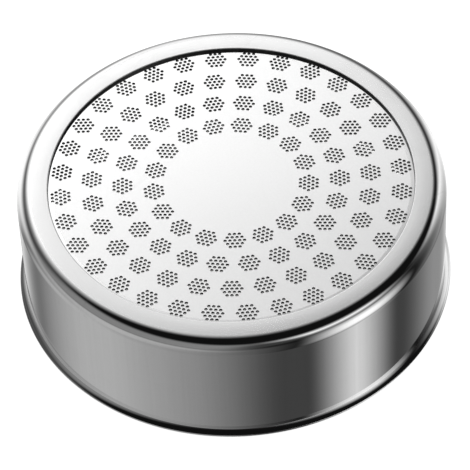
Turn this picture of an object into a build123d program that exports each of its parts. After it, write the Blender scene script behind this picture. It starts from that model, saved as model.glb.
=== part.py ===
from build123d import *
import os
from math import sqrt

# Shower screen for an espresso machine's group head.
# A drawn sheet cup stands on its flared lip with its mouth down, and its crown turns in as a flat bezel.
# A perforated disc lies under the bezel, and a ring pressed in behind the disc holds it there.
# Millimetres, +Z up. The origin is on the cup's axis, in the plane that the lip stands on.

# Cup
body_radius = 27.65              # outside of the upright wall
cup_height = 17.25               # underside of the lip to the top of the bezel
cup_sheet = 0.4                  # thickness of the drawn sheet
lip_width = 0.85                 # the lip stands out this far from the upright wall
flare_radius = 0.6               # outside of the turn from the wall to the lip
shoulder_radius = 2.0            # outside of the turn from the wall to the bezel
bezel_width = 4.05               # from the upright wall's outside in to the bezel's opening
bezel_edge_land = 0.2            # upright part of the opening's edge, under its rolled corner

# Perforated disc
disc_thickness = 0.3
disc_rim_clearance = 0.1         # from the rim to where the shoulder starts to turn down
screen_margin = 1.6              # from the outermost circle of patches to the bezel's opening
patches_in_circle = (17, 22, 27, 32)
circle_pitches = 5.5             # radius of the outermost circle, in pitches from circle to circle
start_azimuth = 270.0            # every circle has a patch on this line, in degrees from +X
hole_radius = 0.2
hole_pitch_share = 0.1545        # pitch of a patch's holes, as a share of the pitch of the circles
rows_each_side = 2               # rows of holes on each side of a patch's middle row

# Retaining ring
ring_sheet = 0.4
ring_setback = 0.75              # from the bezel's opening out to the ring's opening
ring_height = 4.0                # flange's upper face to the skirt's lower edge

body_bore = body_radius - cup_sheet
bezel_opening_radius = body_radius - bezel_width
bezel_underside = cup_height - cup_sheet
disc_underside = bezel_underside - disc_thickness
outer_circle_radius = bezel_opening_radius - screen_margin
circle_pitch = outer_circle_radius / circle_pitches
hole_pitch = circle_pitch * hole_pitch_share


def bent_sheet(outline, bend_radii, thickness):
    """Section of a sheet whose outer side follows an outline in the XZ plane, with rounded bends."""
    path = FilletPolyline(*outline, radius=bend_radii)
    return make_face(path.wire().offset_2d(thickness, side=Side.RIGHT))


def make_cup():
    """Bezel with a rolled edge, shoulder, upright wall and flared lip, in one drawn sheet."""
    outline = [
        (bezel_opening_radius, 0, cup_height),
        (body_radius, 0, cup_height),
        (body_radius, 0, cup_sheet),
        (body_radius + lip_width, 0, cup_sheet),
    ]
    section = bent_sheet(outline, (shoulder_radius, flare_radius), cup_sheet)
    opening_edge = section.vertices().sort_by_distance(outline[0])[0]
    section = section.face().fillet_2d(cup_sheet - bezel_edge_land, [opening_edge])
    return revolve(section, Axis.Z)


def patch_opening():
    """Outline of one patch of holes: a hexagon round the grid, with two sides square to the radius."""
    row_pitch = hole_pitch * sqrt(3) / 2
    half_width = rows_each_side * row_pitch + hole_radius
    return RegularPolygon(half_width, 6, major_radius=False, rotation=30)


def make_perforated_disc():
    """Flat disc with circles of patches. Each patch of fine holes is one opening of the same outline."""
    face = Circle(body_radius - shoulder_radius - disc_rim_clearance)
    for pitches_inward, patches in enumerate(reversed(patches_in_circle)):
        radius = outer_circle_radius - pitches_inward * circle_pitch
        face -= PolarLocations(radius, patches, start_azimuth) * patch_opening()
    return extrude(Pos(0, 0, disc_underside) * face, disc_thickness)


def make_retaining_ring():
    """Flange that bears up on the disc's rim, with a skirt pressed into the cup's bore."""
    outline = [
        (bezel_opening_radius + ring_setback, 0, disc_underside),
        (body_bore, 0, disc_underside),
        (body_bore, 0, disc_underside - ring_height),
    ]
    section = bent_sheet(outline, (shoulder_radius - cup_sheet,), ring_sheet)
    return revolve(section, Axis.Z)


nodes = {
    "cup": make_cup(),
    "perforated_disc": make_perforated_disc(),
    "retaining_ring": make_retaining_ring(),
}

os.makedirs("parts", exist_ok=True)
for name, solid in nodes.items():
    solid.label = name
    export_step(solid, f"parts/{name}.step")
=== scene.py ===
import bmesh
import bpy
from math import cos, pi, radians, sin, sqrt, tan
from mathutils import Matrix, Vector


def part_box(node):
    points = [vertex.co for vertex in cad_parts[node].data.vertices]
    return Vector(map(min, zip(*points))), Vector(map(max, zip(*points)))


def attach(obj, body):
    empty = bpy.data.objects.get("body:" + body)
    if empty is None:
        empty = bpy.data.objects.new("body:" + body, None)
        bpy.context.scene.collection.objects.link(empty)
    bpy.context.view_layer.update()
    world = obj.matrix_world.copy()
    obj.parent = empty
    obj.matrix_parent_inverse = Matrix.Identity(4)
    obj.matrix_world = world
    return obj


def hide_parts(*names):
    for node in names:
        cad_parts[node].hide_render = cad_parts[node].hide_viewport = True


# An espresso shower screen stands on its lip with its perforated face up, and soft cards light it all round.
# Finer pieces of the same size stand for the solids: a spun cup, a spun ring and a disc with every hole.

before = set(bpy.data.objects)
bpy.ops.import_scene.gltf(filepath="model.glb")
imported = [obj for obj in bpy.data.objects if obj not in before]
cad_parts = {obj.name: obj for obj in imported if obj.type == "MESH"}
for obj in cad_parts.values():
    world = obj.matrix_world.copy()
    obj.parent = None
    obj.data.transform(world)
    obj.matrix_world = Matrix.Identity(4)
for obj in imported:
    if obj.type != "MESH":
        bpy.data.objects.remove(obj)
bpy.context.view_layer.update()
mm = 0.001
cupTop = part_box("cup")[1].z
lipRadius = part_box("cup")[1].x
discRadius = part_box("perforated_disc")[1].x
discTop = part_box("perforated_disc")[1].z
ringLow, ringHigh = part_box("retaining_ring")
print("stage: frame loaded")


# Shared node groups

def newGroup(name, inputs, outputs):
    # Sockets are given as name: default, where a number is a float and three numbers are a vector.
    group = bpy.data.node_groups.new(name, "ShaderNodeTree")
    for direction, sockets in (("INPUT", inputs), ("OUTPUT", outputs)):
        for label, value in sockets.items():
            kind = "NodeSocketFloat" if isinstance(value, (int, float)) else "NodeSocketVector"
            socket = group.interface.new_socket(label, in_out=direction, socket_type=kind)
            if isinstance(value, (int, float)):
                socket.default_value = value
    return group, group.nodes.new("NodeGroupInput"), group.nodes.new("NodeGroupOutput")


def feed(tree, slot, value):
    # A number is set on the input slot, and a socket is joined to it.
    if isinstance(value, (int, float)):
        slot.default_value = value
    else:
        tree.links.new(value, slot)


def addMath(tree, operation, *values):
    node = tree.nodes.new("ShaderNodeMath")
    node.operation = operation
    for slot, value in zip(node.inputs, values):
        feed(tree, slot, value)
    return node.outputs[0]


def addRange(tree, value, low, high, toLow, toHigh, curve="SMOOTHSTEP"):
    node = tree.nodes.new("ShaderNodeMapRange")
    node.interpolation_type = curve
    for slot, given in zip(node.inputs, (value, low, high, toLow, toHigh)):
        feed(tree, slot, given)
    return node.outputs[0]


def addGroup(tree, group, **values):
    node = tree.nodes.new("ShaderNodeGroup")
    node.node_tree = group
    for label, value in values.items():
        feed(tree, node.inputs[label], value)
    return node


# Studio

studio = {
    "turn": 41.628,         # degrees from the part's +X to the right of the picture
    "roomLight": 0.006,     # what reaches the part from between the cards
    "background": 1.0,      # white to the camera alone, because the metal mirrors the cards
}
# Each card is a soft-edged patch of the surroundings above the table's edge. Later ones hide earlier ones.
# Its values are in the order of cardValues, with the angles in degrees. Lean is its turn of azimuth for each
# degree of elevation, and taper its gain in width.
cards = {
    "highGlow": (2.4, 110, 46, 15, 12, 45, 30, 0, 0.02),
    "leftWall": (0.26, 215, 20, 55, 26, 20, 8, 0.5, 0),
    "leftLow": (0.52, 210, -20, 45, 28, 50, 8, 0, 0),
    "softbox": (2.4, 100, 24, 16, 16, 18, 16, 0, 0.02),
    "softboxFoot": (0.9, 96, 5, 8, 32, 25, 8, 0, 0.03),
    "leftStrip": (1.2, 124, -24, 16, 30, 14, 20, 0.6, 0),
    "rightFill": (0.4, 33, -6, 14, 34, 22, 14, 0, 0),
    "rightStrip": (1.5, 52, -10, 8, 42, 22, 8, -0.5, -0.01),
    "rightSpot": (1.8, 320, 38, 27, 3, 14, 14, -0.5, 0),
    "rightPanel": (1.3, 328, -10, 17, 26, 16, 20, 0, 0),
    "frontShade": (0.05, 286, 28, 12, 10, 12, 8, 0, 0),
    "behindShade": (0.10, 90, -36, 14, 10, 12, 12, 0, 0),
    "leftSeam": (0.12, 218, 12, 44, 0.5, 16, 4.5, 0, 0),
    "rightSeam": (0.10, 333, 23, 26, 0.5, 16, 5, 0, 0),
}
cardValues = (
    "Level", "Azimuth", "Elevation", "Half Width", "Half Height", "Side Edge", "Top Edge", "Lean", "Taper")
table = {
    "level": 0.06,
    "edge": -42,                # elevation of its far edge
    "edgeBlur": 3,
    "rise": 22,                 # the edge is this much higher on the left
    "riseAt": (208, 62, 22),    # azimuth, half width and soft edge of that side
    "riseBlur": 4,
}
# Each band is a soft-edged sector of the table: light level, azimuth, half width and soft edge.
tableBands = {
    "left": (0.27, 240, 30, 25),
    "leftBright": (0.50, 186, 40, 35),
    "behind": (0.80, 90, 28, 20),
    "behindShade": (0.08, 90, 10, 8),
    "rightDim": (0.30, 50, 20, 20),
    "rightBright": (0.82, 338, 13, 18),
}


def turnedAway(tree, azimuth, middle):
    # Degrees of azimuth between two directions, the shorter way round.
    turn = addMath(tree, "WRAP", addMath(tree, "SUBTRACT", azimuth, middle), 180, -180)
    return addMath(tree, "ABSOLUTE", turn)


def softMask(tree, distance, half, edge):
    far = addMath(tree, "ADD", half, edge)
    near = addMath(tree, "SUBTRACT", half, edge)
    return addRange(tree, distance, far, near, 0, 1)


def makeSoftCardGroup():
    # Puts one card over the light behind it. Look gives the azimuth and elevation looked at, in degrees.
    inputs = {"Behind": 0, "Look Azimuth": 0, "Look Elevation": 0} | dict.fromkeys(cardValues, 0)
    group, given, result = newGroup("softCard", inputs, {"Light": 0})
    read = given.outputs
    up = addMath(group, "SUBTRACT", read["Look Elevation"], read["Elevation"])
    middle = addMath(group, "MULTIPLY_ADD", read["Lean"], up, read["Azimuth"])
    spread = addMath(group, "MULTIPLY_ADD", read["Taper"], up, 1)
    halfWidth = addMath(group, "MULTIPLY", read["Half Width"], spread)
    side = softMask(group, turnedAway(group, read["Look Azimuth"], middle), halfWidth, read["Side Edge"])
    top = softMask(group, addMath(group, "ABSOLUTE", up), read["Half Height"], read["Top Edge"])
    mask = addMath(group, "MULTIPLY", side, top)
    change = addMath(group, "SUBTRACT", read["Level"], read["Behind"])
    group.links.new(addMath(group, "MULTIPLY_ADD", change, mask, read["Behind"]), result.inputs["Light"])
    return group


def makeWorld():
    world = bpy.data.worlds.new("cardStudio")
    bpy.context.scene.world = world
    world.use_nodes = True
    tree = world.node_tree
    direction = tree.nodes.new("ShaderNodeTexCoord").outputs["Generated"]
    turned = tree.nodes.new("ShaderNodeMapping")
    turned.inputs["Rotation"].default_value[2] = -radians(studio["turn"])
    tree.links.new(direction, turned.inputs["Vector"])
    parts = tree.nodes.new("ShaderNodeSeparateXYZ")
    tree.links.new(turned.outputs[0], parts.inputs[0])
    azimuth = addMath(tree, "DEGREES", addMath(tree, "ARCTAN2", parts.outputs["Y"], parts.outputs["X"]))
    elevation = addMath(tree, "DEGREES", addMath(tree, "ARCSINE", parts.outputs["Z"]))
    group = makeSoftCardGroup()

    def layer(light, shapes):
        look = {"Look Azimuth": azimuth, "Look Elevation": elevation}
        for name, values in shapes.items():
            card = addGroup(tree, group, **{"Behind": light}, **look, **values)
            card.label = name
            light = card.outputs["Light"]
        return light

    above = layer(studio["roomLight"], {
        name: dict(zip(cardValues, values))
        for name, values in cards.items()})
    upright = {"Elevation": 0, "Half Height": 200, "Top Edge": 1}     # a band has no end in height
    below = layer(table["level"], {
        name: upright | {"Level": level, "Azimuth": middle, "Half Width": half, "Side Edge": edge}
        for name, (level, middle, half, edge) in tableBands.items()})
    middle, half, edge = table["riseAt"]
    risen = addRange(tree, turnedAway(tree, azimuth, middle), half + edge, half - edge, 0, 1)
    middle = addMath(tree, "MULTIPLY_ADD", risen, table["rise"], table["edge"])
    blur = addMath(tree, "MULTIPLY_ADD", risen, table["riseBlur"], table["edgeBlur"])
    low = addMath(tree, "SUBTRACT", middle, blur)
    high = addMath(tree, "ADD", middle, blur)
    isAbove = addRange(tree, elevation, low, high, 0, 1)
    light = addMath(tree, "MULTIPLY_ADD", addMath(tree, "SUBTRACT", above, below), isAbove, below)
    lit = tree.nodes["Background"]
    tree.links.new(light, lit.inputs["Color"])
    white = tree.nodes.new("ShaderNodeBackground")
    white.inputs["Strength"].default_value = studio["background"]
    white.inputs["Color"].default_value = (1, 1, 1, 1)
    choose = tree.nodes.new("ShaderNodeMixShader")
    tree.links.new(tree.nodes.new("ShaderNodeLightPath").outputs["Is Camera Ray"], choose.inputs[0])
    tree.links.new(lit.outputs[0], choose.inputs[1])
    tree.links.new(white.outputs[0], choose.inputs[2])
    tree.links.new(choose.outputs[0], tree.nodes["World Output"].inputs["Surface"])
    print("stage: studio with", len(cards), "cards and", len(tableBands), "table bands")


# Lamp

lampForm = {
    "power": 2.35,        # watts
    "side": 0.4,          # metres, as its distance is
    "azimuth": 115,       # degrees from the right of the picture
    "elevation": 58,
    "distance": 0.5,
}


def makeLamp():
    # Lights only what scatters light: the matt share of the steels and the floor.
    data = bpy.data.lights.new("softLamp", "AREA")
    data.energy = lampForm["power"]
    data.size = lampForm["side"]
    lamp = bpy.data.objects.new("softLamp", data)
    bpy.context.scene.collection.objects.link(lamp)
    toward = (
        Matrix.Rotation(radians(studio["turn"] + lampForm["azimuth"]), 4, "Z")
        @ Matrix.Rotation(-radians(lampForm["elevation"]), 4, "Y"))
    spot = toward @ Vector((lampForm["distance"], 0, 0))
    lamp.matrix_world = Matrix.Translation(spot) @ spot.to_track_quat("Z", "Y").to_matrix().to_4x4()
    lamp.visible_glossy = False
    print("stage: lamp")


# Floor

floorForm = {
    "halfSide": 3.0,
    "ownLight": 0.99,               # pale enough that the floor and the background meet without a line
    "litShare": 0.15,               # the share that takes the part's shadow
    "paintedShadeLight": 0.32,           # painted shadow: own light lowered under the part, as seen through the holes
    "paintedShadeRadius": 27.0 * mm,
    "paintedShadeEdge": 0.4 * mm,
}


def makeFloor():
    material = bpy.data.materials.new("paleFloor")
    material.use_nodes = True
    tree = material.node_tree
    tree.nodes.remove(tree.nodes["Principled BSDF"])
    glow = tree.nodes.new("ShaderNodeEmission")
    distance = tree.nodes.new("ShaderNodeVectorMath")
    distance.operation = "LENGTH"
    tree.links.new(tree.nodes.new("ShaderNodeTexCoord").outputs["Object"], distance.inputs[0])
    shadeRadius = floorForm["paintedShadeRadius"]
    # Painted shadow: the floor's own light drops under the part.
    light = addRange(
        tree, distance.outputs["Value"], shadeRadius, shadeRadius + floorForm["paintedShadeEdge"],
        floorForm["paintedShadeLight"], floorForm["ownLight"])
    tree.links.new(light, glow.inputs["Strength"])
    matt = tree.nodes.new("ShaderNodeBsdfDiffuse")
    matt.inputs["Color"].default_value = (floorForm["litShare"],) * 3 + (1,)
    both = tree.nodes.new("ShaderNodeAddShader")
    tree.links.new(glow.outputs[0], both.inputs[0])
    tree.links.new(matt.outputs[0], both.inputs[1])
    clear = tree.nodes.new("ShaderNodeBsdfTransparent")
    choose = tree.nodes.new("ShaderNodeMixShader")
    tree.links.new(tree.nodes.new("ShaderNodeNewGeometry").outputs["Backfacing"], choose.inputs[0])
    tree.links.new(both.outputs[0], choose.inputs[1])
    tree.links.new(clear.outputs[0], choose.inputs[2])
    tree.links.new(choose.outputs[0], tree.nodes["Material Output"].inputs["Surface"])
    bm = bmesh.new()
    bmesh.ops.create_grid(bm, x_segments=1, y_segments=1, size=floorForm["halfSide"])
    mesh = bpy.data.meshes.new("floor")
    bm.to_mesh(mesh)
    bm.free()
    mesh.materials.append(material)
    floor = bpy.data.objects.new("floor", mesh)
    bpy.context.scene.collection.objects.link(floor)
    floor.visible_glossy = False     # the wall mirrors the cards round it and not the floor
    floor.visible_diffuse = False
    print("stage: floor")


# Camera

photoView = {
    "imageSide": 470,                    # pixels
    "lens": 252.91,                      # mm, on a sensor 36 mm wide
    "elevation": 48.809,                 # degrees above the horizon
    "roll": -2.658,
    "distance": 424.858 * mm,            # to the middle of the disc's upper face
    "middleAt": (-3.887, -53.010),       # where that shows, in pixels right and down from the middle
}


def makeCamera():
    lensData = bpy.data.cameras.new("photoCamera")
    lensData.sensor_width = 36
    lensData.lens = photoView["lens"]
    lensData.clip_start, lensData.clip_end = 0.01, 50
    camera = bpy.data.objects.new("photoCamera", lensData)
    bpy.context.scene.collection.objects.link(camera)
    turned = (
        Matrix.Rotation(radians(studio["turn"]), 4, "Z")
        @ Matrix.Rotation(radians(90 - photoView["elevation"]), 4, "X")
        @ Matrix.Rotation(radians(photoView["roll"]), 4, "Z"))
    focalPixels = photoView["lens"] / lensData.sensor_width * photoView["imageSide"]
    right, down = photoView["middleAt"]
    toMiddle = turned @ Vector((right / focalPixels, -down / focalPixels, -1)).normalized()
    spot = Vector((0, 0, discTop)) - toMiddle * photoView["distance"]
    camera.matrix_world = Matrix.Translation(spot) @ turned
    bpy.context.scene.camera = camera
    print("stage: camera")


# Steel

marks = {
    "linesPerMm": 6,
    "linesFade": 0.12,           # changes along a line, per mm
    "streaksPerMm": 2.2,
    "streaksStretch": 0.02,      # their change up the wall, as a share of that round it
    "smudgesPerMetre": 160,
    "smudgeSwirl": 1.2,
    "scratchScale": (1600, 60, 60),
    "scratchTurns": ((18, 0), (75, 3), (131, 7)),     # degrees, and a shift that makes each set differ
    "scratchHalfWidth": (0.012, 0.002),               # where one starts and is full, off the middle tone
    "scratchPatches": 0.11,
    "motesPerMetre": 3800,
    "pitsPerMetre": 6500,
}
noiseSpan = (0.3, 0.7)           # nearly all the values of a noise lie in here


def addNoise(tree, vector, scale, detail, distortion=0):
    node = tree.nodes.new("ShaderNodeTexNoise")
    tree.links.new(vector, node.inputs["Vector"])
    node.inputs["Scale"].default_value = scale
    node.inputs["Detail"].default_value = detail
    node.inputs["Distortion"].default_value = distortion
    return node.outputs[0]


def addVector(tree, *values):
    node = tree.nodes.new("ShaderNodeCombineXYZ")
    for slot, value in zip(node.inputs, values):
        feed(tree, slot, value)
    return node.outputs[0]


def makePlaceGroup():
    # Place on a turned form: radius, height and the length round the axis at the lip, in mm.
    outputs = {"Radius": 0, "Height": 0, "Turn": 0}
    group, given, result = newGroup("turnedPlace", {"Position": (0, 0, 0)}, outputs)
    split = group.nodes.new("ShaderNodeSeparateXYZ")
    group.links.new(given.outputs["Position"], split.inputs[0])
    x, y, z = split.outputs
    radius = addMath(group, "SQRT", addMath(group, "MULTIPLY_ADD", x, x, addMath(group, "MULTIPLY", y, y)))
    group.links.new(addMath(group, "MULTIPLY", radius, 1 / mm), result.inputs["Radius"])
    group.links.new(addMath(group, "MULTIPLY", z, 1 / mm), result.inputs["Height"])
    turn = addMath(group, "ARCTAN2", y, x)
    group.links.new(addMath(group, "MULTIPLY", turn, lipRadius / mm), result.inputs["Turn"])
    return group


def makeLinesGroup(placeGroup):
    # Fine lines left by turning and polishing, which run round the axis and fade in and out.
    group, given, result = newGroup("turnedLines", {"Position": (0, 0, 0)}, {"Lines": 0})
    at = addGroup(group, placeGroup, Position=given.outputs["Position"]).outputs
    across = addMath(group, "ADD", at["Radius"], at["Height"])
    across = addMath(group, "MULTIPLY", across, marks["linesPerMm"])
    along = addMath(group, "MULTIPLY", at["Turn"], marks["linesFade"])
    lines = addNoise(group, addVector(group, across, along, 0), 1, 3)
    group.links.new(addRange(group, lines, *noiseSpan, 0, 1, "LINEAR"), result.inputs["Lines"])
    return group


def makeStreaksGroup(placeGroup):
    # Drawing marks, which run up the wall.
    group, given, result = newGroup("drawnStreaks", {"Position": (0, 0, 0)}, {"Streaks": 0})
    at = addGroup(group, placeGroup, Position=given.outputs["Position"]).outputs
    along = addMath(group, "MULTIPLY", at["Height"], marks["streaksStretch"])
    streaks = addNoise(group, addVector(group, at["Turn"], along, at["Radius"]), marks["streaksPerMm"], 4)
    group.links.new(addRange(group, streaks, *noiseSpan, 0, 1, "LINEAR"), result.inputs["Streaks"])
    return group


def makeSmudgesGroup():
    # Wiping marks: soft clouds a few millimetres across.
    group, given, result = newGroup("softSmudges", {"Position": (0, 0, 0)}, {"Smudges": 0})
    clouds = addNoise(group, given.outputs["Position"], marks["smudgesPerMetre"], 4, marks["smudgeSwirl"])
    group.links.new(addRange(group, clouds, 0.38, 0.72, 0, 1), result.inputs["Smudges"])
    return group


def makeScratchesGroup():
    # Hairline scratches of handling in a few directions, each showing only here and there.
    group, given, result = newGroup("hairScratches", {"Position": (0, 0, 0)}, {"Scratches": 0})
    total = None
    for turn, shift in marks["scratchTurns"]:
        turned = group.nodes.new("ShaderNodeMapping")
        turned.inputs["Rotation"].default_value = (radians(turn / 2), radians(turn / 3), radians(turn))
        turned.inputs["Scale"].default_value = marks["scratchScale"]
        turned.inputs["Location"].default_value = (shift, shift, 0)
        group.links.new(given.outputs["Position"], turned.inputs["Vector"])
        offMiddle = addMath(group, "SUBTRACT", addNoise(group, turned.outputs[0], 1, 0), 0.5)
        line = addRange(group, addMath(group, "ABSOLUTE", offMiddle), *marks["scratchHalfWidth"], 0, 1)
        patches = addNoise(group, turned.outputs[0], marks["scratchPatches"], 1)
        line = addMath(group, "MULTIPLY", line, addRange(group, patches, 0.56, 0.66, 0, 1))
        total = line if total is None else addMath(group, "MAXIMUM", total, line)
    group.links.new(total, result.inputs["Scratches"])
    return group


def makeSpeckleGroup():
    # Etched grain: a fine mottle with darker pits.
    group, given, result = newGroup("etchedSpeckle", {"Position": (0, 0, 0)}, {"Speckle": 0})
    motes = addNoise(group, given.outputs["Position"], marks["motesPerMetre"], 2)
    pits = addNoise(group, given.outputs["Position"], marks["pitsPerMetre"], 1)
    mottle = addRange(group, motes, *noiseSpan, 0, 1, "LINEAR")
    speckle = addMath(group, "ADD", mottle, addRange(group, pits, 0.62, 0.74, 0, 0.7))
    group.links.new(speckle, result.inputs["Speckle"])
    return group


turnedPlace = makePlaceGroup()
effects = {
    "lines": (makeLinesGroup(turnedPlace), "Lines"),
    "streaks": (makeStreaksGroup(turnedPlace), "Streaks"),
    "smudges": (makeSmudgesGroup(), "Smudges"),
    "scratches": (makeScratchesGroup(), "Scratches"),
    "speckle": (makeSpeckleGroup(), "Speckle"),
}


def makeSteel(name, finish):
    # An effect is given as the share it takes off the tone, its gain in roughness and its relief in mm.
    material = bpy.data.materials.new(name)
    material.use_nodes = True
    tree = material.node_tree
    shader = tree.nodes["Principled BSDF"]
    mirrorShare = 1 - finish.get("mattShare", 0)     # the matt share scatters light as chalk does
    shader.inputs["Metallic"].default_value = mirrorShare
    position = tree.nodes.new("ShaderNodeTexCoord").outputs["Object"]
    tone, roughness, relief = finish["tone"], finish["roughness"], 0
    for effect, (toneLoss, roughnessGain, reliefMm) in finish["effects"].items():
        group, output = effects[effect]
        value = addGroup(tree, group, Position=position).outputs[output]
        tone = addMath(tree, "MULTIPLY_ADD", value, -toneLoss * finish["tone"], tone)
        roughness = addMath(tree, "MULTIPLY_ADD", value, roughnessGain, roughness)
        if reliefMm:
            relief = addMath(tree, "MULTIPLY_ADD", value, reliefMm * mm, relief)
    if "mirrorRim" in finish:
        start, full = finish["mirrorRim"]
        radius = addGroup(tree, turnedPlace, Position=position).outputs["Radius"]
        tree.links.new(addRange(tree, radius, start, full, mirrorShare, 1), shader.inputs["Metallic"])
    if "domeRadius" in finish:
        radius = addGroup(tree, turnedPlace, Position=position).outputs["Radius"]
        radius = addMath(tree, "MULTIPLY", radius, mm)
        square = addMath(tree, "MULTIPLY", radius, radius)
        relief = addMath(tree, "MULTIPLY_ADD", square, -0.5 / finish["domeRadius"], relief)
    tree.links.new(tone, shader.inputs["Base Color"])
    tree.links.new(roughness, shader.inputs["Roughness"])
    if relief:
        bump = tree.nodes.new("ShaderNodeBump")
        bump.inputs["Distance"].default_value = 1
        tree.links.new(relief, bump.inputs["Height"])
        tree.links.new(bump.outputs[0], shader.inputs["Normal"])
    return material


cupFinishes = {
    "polishedSteel": {"tone": 0.815, "roughness": 0.035, "effects": {
        "lines": (0.012, 0.01, 0), "streaks": (0.03, 0.01, 0),
        "smudges": (0.01, 0.03, 0), "scratches": (0.04, 0.12, 0)}},
    "satinSteel": {"tone": 0.78, "roughness": 0.06, "mattShare": 0.2, "effects": {
        "lines": (0.02, 0.05, 0.00004), "smudges": (0.02, 0.06, 0), "scratches": (0.04, 0.12, 0)}},
    "insideSteel": {"tone": 0.72, "roughness": 0.2, "mattShare": 0.3, "effects": {
        "lines": (0.05, 0.06, 0.00006), "smudges": (0.03, 0.04, 0), "scratches": (0.04, 0.06, 0)}},
    # The opening's cut edge: rougher steel, and its near-black tone is painted shade of the step down to the
    # disc.
    "cutEdgePaintedShade": {"tone": 0.07, "roughness": 0.35, "effects": {
        "streaks": (0.3, 0.1, 0), "smudges": (0.1, 0.1, 0)}},
}
discFinishes = {
    "mattSteel": {
        "tone": 0.92, "roughness": 0.07, "mattShare": 0.62,
        "mirrorRim": (23.0, 23.2),     # radii in mm between which the matt share ends
        "domeRadius": 0.5,             # metres; the shading is that of a slightly domed disc
        "effects": {
            "speckle": (0.035, 0.06, 0.00002), "smudges": (0.012, 0.05, 0), "scratches": (0.03, 0.08, 0)}},
    # Walls of the holes and the rim: etched grain, and a near-black tone that is painted shade inside the
    # holes.
    "etchedSteelPaintedShade": {"tone": 0.045, "roughness": 0.45, "effects": {
        "speckle": (0.3, 0.1, 0.0001), "smudges": (0.15, 0.1, 0)}},
}
ringFinishes = {
    "ringSteel": {"tone": 0.74, "roughness": 0.18, "mattShare": 0.3, "effects": {
        "lines": (0.05, 0.06, 0.00006), "smudges": (0.03, 0.04, 0), "scratches": (0.04, 0.06, 0)}},
}


# Meshes

creaseAngle = 50     # degrees; a sharper edge than this shows as one


def newPiece(name, bm, node, finishes):
    mesh = bpy.data.meshes.new(name)
    bm.to_mesh(mesh)
    bm.free()
    mesh.shade_smooth()
    mesh.set_sharp_from_angle(angle=radians(creaseAngle))
    for label, finish in finishes.items():
        mesh.materials.append(makeSteel(label, finish))
    piece = bpy.data.objects.new(name, mesh)
    bpy.context.scene.collection.objects.link(piece)
    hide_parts(node)
    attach(piece, "root")
    print("stage:", name, "with", sum(len(face.vertices) - 2 for face in mesh.polygons), "triangles")
    return piece


def drawOutline(bm, corners):
    # A chain of edges in the plane y = 0 through points given as radius and height.
    points = [bm.verts.new((radius, 0, height)) for radius, height in corners]
    for start, end in zip(points, points[1:]):
        bm.edges.new((start, end))
    return points


def roundBend(bm, point, radius, turn, segments):
    bmesh.ops.bevel(
        bm, geom=[point], offset=radius * tan(radians(turn) / 2), offset_type="OFFSET", segments=segments,
        profile=0.5, affect="VERTICES", material=-1)


def spinRound(bm, steps):
    bmesh.ops.spin(
        bm, geom=bm.verts[:] + bm.edges[:], cent=(0, 0, 0), axis=(0, 0, 1), angle=2 * pi, steps=steps,
        use_merge=True)
    bmesh.ops.remove_doubles(bm, verts=bm.verts[:], dist=0.001 * mm)
    bmesh.ops.recalc_face_normals(bm, faces=bm.faces[:])


def roundRim(bm, radius, height, amount, segments):
    # Rounds the circle of edges at one radius and height.
    near = 0.02 * mm
    rim = [
        edge for edge in bm.edges
        if all(abs(v.co.xy.length - radius) < near and abs(v.co.z - height) < near for v in edge.verts)]
    bmesh.ops.bevel(
        bm, geom=rim, offset=amount, offset_type="OFFSET", segments=segments, profile=0.5, affect="EDGES",
        material=-1)


# Cup

cupForm = {
    "sheet": 0.4 * mm,
    "shoulder": 2.0 * mm,         # outside of the turn from the wall into the bezel
    "bezelWidth": 4.1 * mm,
    "bezelEdge": 0.14 * mm,       # rolled edge round the opening
    "edgeMargin": 0.05 * mm,      # flat strip that keeps the rolled edge's shading off the bezel
    "crownStart": 3.5 * mm,       # the bezel starts to fall this far in from the wall
    "crownFall": 3.5,             # degrees
    "lipWidth": 0.8 * mm,
    "flareWidth": 0.38 * mm,      # steeper part of the lip, next to the wall
    "flareSlope": 36,             # degrees down from level
    "lipSlope": 27,
    "flareBend": 0.12 * mm,       # outside of the turn from the wall
    "lipBend": 2.0 * mm,
    "lipEdge": 0.1 * mm,
    "steps": 240,                 # round the axis
}


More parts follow.
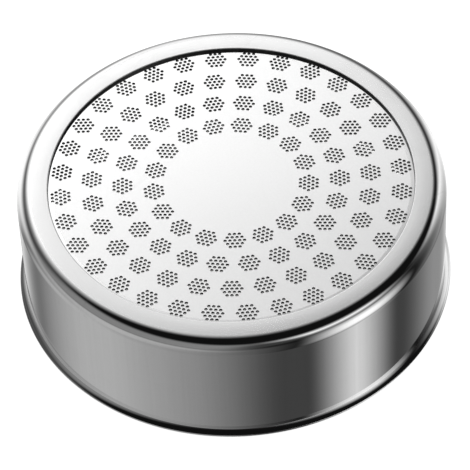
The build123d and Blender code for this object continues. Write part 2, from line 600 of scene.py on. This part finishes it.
def makeCup():
    form = cupForm
    wall = lipRadius - form["lipWidth"]
    opening = wall - form["bezelWidth"]
    fall = radians(form["crownFall"])
    # The crown's arc runs from its start to the top of the shoulder, and its corner is halfway.
    crownWidth = form["crownStart"] - form["shoulder"] * (1 - sin(fall))
    crown = wall - form["crownStart"] + crownWidth / 2
    lipEnd = form["sheet"] * cos(radians(form["lipSlope"]))      # the edge's lower corner touches the ground
    flareEnd = lipEnd + (form["lipWidth"] - form["flareWidth"]) * tan(radians(form["lipSlope"]))
    bm = bmesh.new()
    points = drawOutline(bm, [
        (opening, cupTop),
        (opening + form["bezelEdge"] + form["edgeMargin"], cupTop),
        (crown, cupTop),
        (wall, cupTop - (wall - crown) * tan(fall)),
        (wall, flareEnd + form["flareWidth"] * tan(radians(form["flareSlope"]))),
        (wall + form["flareWidth"], flareEnd),
        (lipRadius, lipEnd),
    ])
    roundBend(bm, points[2], crownWidth / 2 / tan(fall / 2), form["crownFall"], 6)
    roundBend(bm, points[3], form["shoulder"], 90 - form["crownFall"], 28)
    roundBend(bm, points[4], form["flareBend"], 90 - form["flareSlope"], 6)
    roundBend(bm, points[5], form["lipBend"], form["flareSlope"] - form["lipSlope"], 4)
    spinRound(bm, form["steps"])
    bmesh.ops.solidify(bm, geom=bm.faces[:], thickness=form["sheet"])
    roundRim(bm, opening, cupTop, form["bezelEdge"], 4)
    roundRim(bm, lipRadius, lipEnd, form["lipEdge"], 4)
    labels = list(cupFinishes)
    for face in bm.faces:
        middle = face.calc_center_median()
        outward = face.normal.xy.dot(middle.xy.normalized())
        # The land and lower roll of the opening take the cut edge's painted shade.
        if middle.xy.length < opening + form["bezelEdge"] * 0.4 and face.normal.z < 0.7:
            label = "cutEdgePaintedShade"
        elif face.normal.z < -0.1 or outward < -0.1:
            label = "insideSteel"
        else:
            label = "satinSteel" if face.normal.z > 0.99 else "polishedSteel"
        face.material_index = labels.index(label)
    piece = newPiece("screenCup", bm, "cup", cupFinishes)
    piece.modifiers.new("evenShading", "WEIGHTED_NORMAL").keep_sharp = True
    return piece


# Perforated disc

discForm = {
    "thickness": 0.3 * mm,
    "outerCircle": 22.0 * mm,             # radius of the outermost circle of patches
    "circlePitch": 4.0 * mm,
    "patchesInward": (32, 27, 22, 17),
    "startAzimuth": 270,                  # every circle has a patch on this line
    "holePitch": 0.618 * mm,
    "holeRadius": 0.224 * mm,
    "rowsEachSide": 2,
    "holeSides": 14,
    "rimSides": 192,
}


def cutPatch(bm, patchMatrix):
    # Nineteen hole rims on a triangular grid in a hexagon.
    form = discForm
    rows = form["rowsEachSide"]
    for row in range(-rows, rows + 1):
        holes = 2 * rows + 1 - abs(row)
        for hole in range(holes):
            middle = Vector((row * sqrt(3) / 2, hole - (holes - 1) / 2, 0)) * form["holePitch"]
            bmesh.ops.create_circle(
                bm, segments=form["holeSides"], radius=form["holeRadius"],
                matrix=patchMatrix @ Matrix.Translation(middle))


def makeDisc():
    form = discForm
    bm = bmesh.new()
    bmesh.ops.create_circle(bm, segments=form["rimSides"], radius=discRadius)
    for inward, patches in enumerate(form["patchesInward"]):
        outward = Matrix.Translation((form["outerCircle"] - inward * form["circlePitch"], 0, 0))
        for patch in range(patches):
            turn = radians(form["startAzimuth"]) + 2 * pi * patch / patches
            cutPatch(bm, Matrix.Rotation(turn, 4, "Z") @ outward)
    bmesh.ops.triangle_fill(bm, use_beauty=True, use_dissolve=False, edges=bm.edges[:], normal=(0, 0, 1))
    bmesh.ops.recalc_face_normals(bm, faces=bm.faces[:])
    bmesh.ops.translate(bm, verts=bm.verts[:], vec=(0, 0, discTop))
    bmesh.ops.solidify(bm, geom=bm.faces[:], thickness=form["thickness"])
    for face in bm.faces:
        # Index 1 is the etched steel whose near-black tone is painted shade in the holes.
        face.material_index = int(abs(face.normal.z) < 0.5)     # the walls of the holes and the rim
    return newPiece("screenDisc", bm, "perforated_disc", discFinishes)


# Retaining ring

ringForm = {
    "sheet": 0.4 * mm,
    "bend": 1.6 * mm,
    "opening": 24.35 * mm,
    "steps": 160,                 # round the axis
}


def makeRing():
    form = ringForm
    bm = bmesh.new()
    points = drawOutline(bm, [
        (form["opening"], ringHigh.z),
        (ringHigh.x, ringHigh.z),
        (ringHigh.x, ringLow.z),
    ])
    roundBend(bm, points[1], form["bend"], 90, 12)
    spinRound(bm, form["steps"])
    bmesh.ops.solidify(bm, geom=bm.faces[:], thickness=form["sheet"])
    return newPiece("screenRing", bm, "retaining_ring", ringFinishes)


makeWorld()
makeLamp()
makeFloor()
makeCamera()
makeCup()
makeDisc()
makeRing()

bpy.context.scene.view_settings.view_transform = "Standard"
